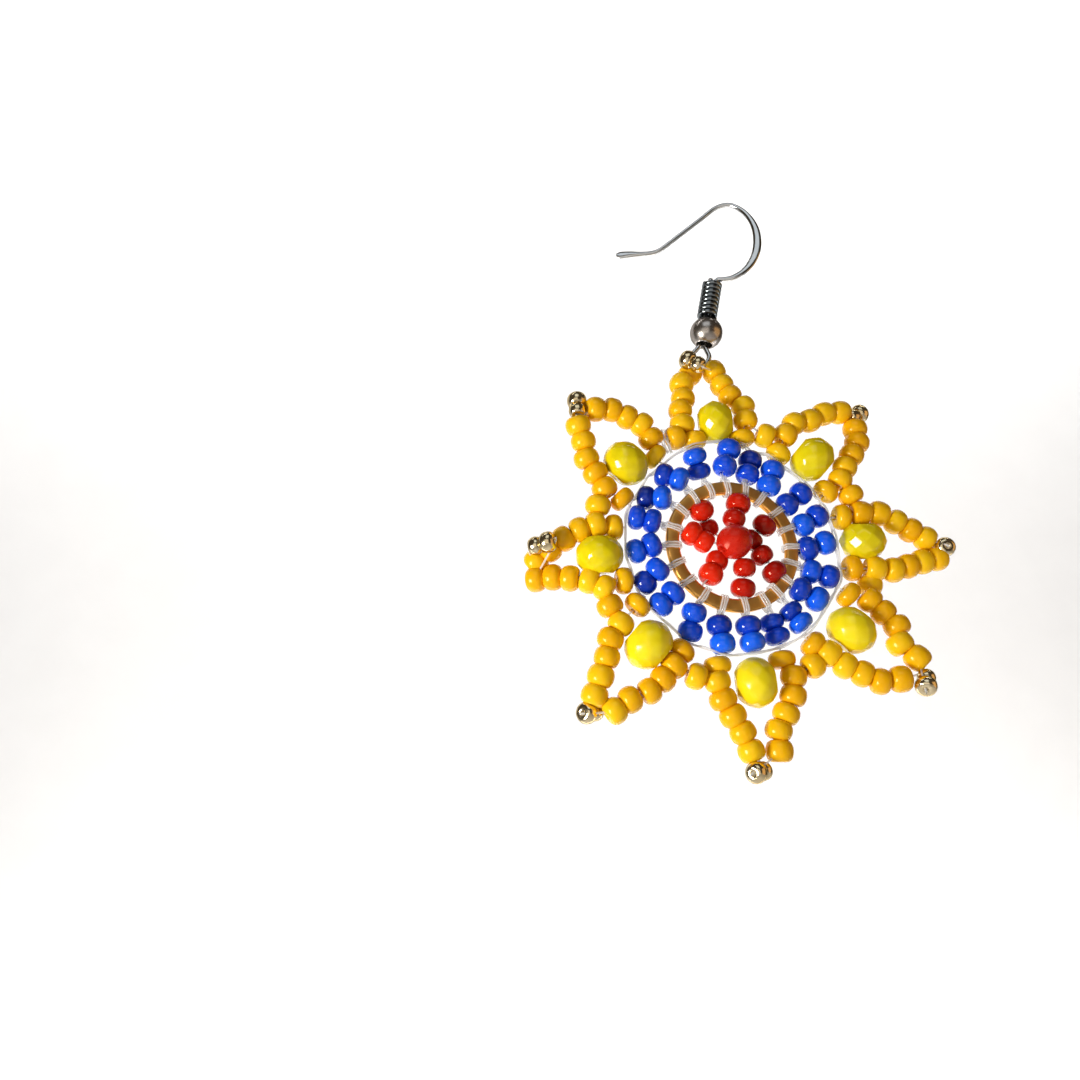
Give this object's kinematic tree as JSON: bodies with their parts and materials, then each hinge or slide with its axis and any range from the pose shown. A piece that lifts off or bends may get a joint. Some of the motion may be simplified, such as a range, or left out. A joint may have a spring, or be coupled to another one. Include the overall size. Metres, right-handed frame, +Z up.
{
  "type": "seed bead earring",
  "caption": "Drop earring on a wire ear hook: a flat star of strung seed beads round a gold ring, with faceted beads at the feet of its petals.",
  "frame": {"origin": "the inner top of the hook's arch, where the earring hangs in the ear", "axes": "+Z up, -Y towards the star's front, +X to the right as seen from the front"},
  "size_m": [0.0516, 0.0091, 0.0744],
  "materials": {
    "dark_steel": "polished, dark",
    "gold_metal": "satin",
    "gold_bead": "polished",
    "red_glass": "glossy, opaque",
    "blue_glass": "glossy, opaque",
    "yellow_glass": "glossy, opaque",
    "lemon_glass": "faceted, glossy, opaque",
    "clear_thread": "clear"
  },
  "bodies": {
    "hook": {"ear_hook": "dark_steel", "hook_ball": "dark_steel", "hook_coil": "dark_steel"},
    "star": {"top_loop": "clear_thread", "gold_ring": "gold_metal", "blue_band": "blue_glass", "heart_bead": "red_glass", "red_spoke_1": "red_glass", "red_spoke_2": "red_glass", "red_spoke_3": "red_glass", "red_spoke_4": "red_glass", "red_spoke_5": "red_glass", "red_spoke_6": "red_glass", "red_spoke_7": "red_glass", "stone_1": "lemon_glass", "stone_2": "lemon_glass", "stone_3": "lemon_glass", "stone_4": "lemon_glass", "stone_5": "lemon_glass", "stone_6": "lemon_glass", "stone_7": "lemon_glass", "stone_8": "lemon_glass", "petal_1_left": "yellow_glass", "petal_1_right": "yellow_glass", "petal_2_left": "yellow_glass", "petal_2_right": "yellow_glass", "petal_3_left": "yellow_glass", "petal_3_right": "yellow_glass", "petal_4_left": "yellow_glass", "petal_4_right": "yellow_glass", "petal_5_left": "yellow_glass", "petal_5_right": "yellow_glass", "petal_6_left": "yellow_glass", "petal_6_right": "yellow_glass", "petal_7_left": "yellow_glass", "petal_7_right": "yellow_glass", "petal_8_left": "yellow_glass", "petal_8_right": "yellow_glass", "tip_beads_1": "gold_bead", "tip_beads_2": "gold_bead", "tip_beads_3": "gold_bead", "tip_beads_4": "gold_bead", "tip_beads_5": "gold_bead", "tip_beads_6": "gold_bead", "tip_beads_7": "gold_bead", "tip_beads_8": "gold_bead", "valley_beads": "yellow_glass", "bead_threads": "clear_thread"}
  },
  "joints": [
    {"name": "star_swing", "type": "hinge", "parent": "hook", "child": "star", "pos_m": [-0.00563, 0.00205, -0.02211], "axis": [-0.342, -0.9397, 0], "range_deg": [-40, 40]}
  ]
}
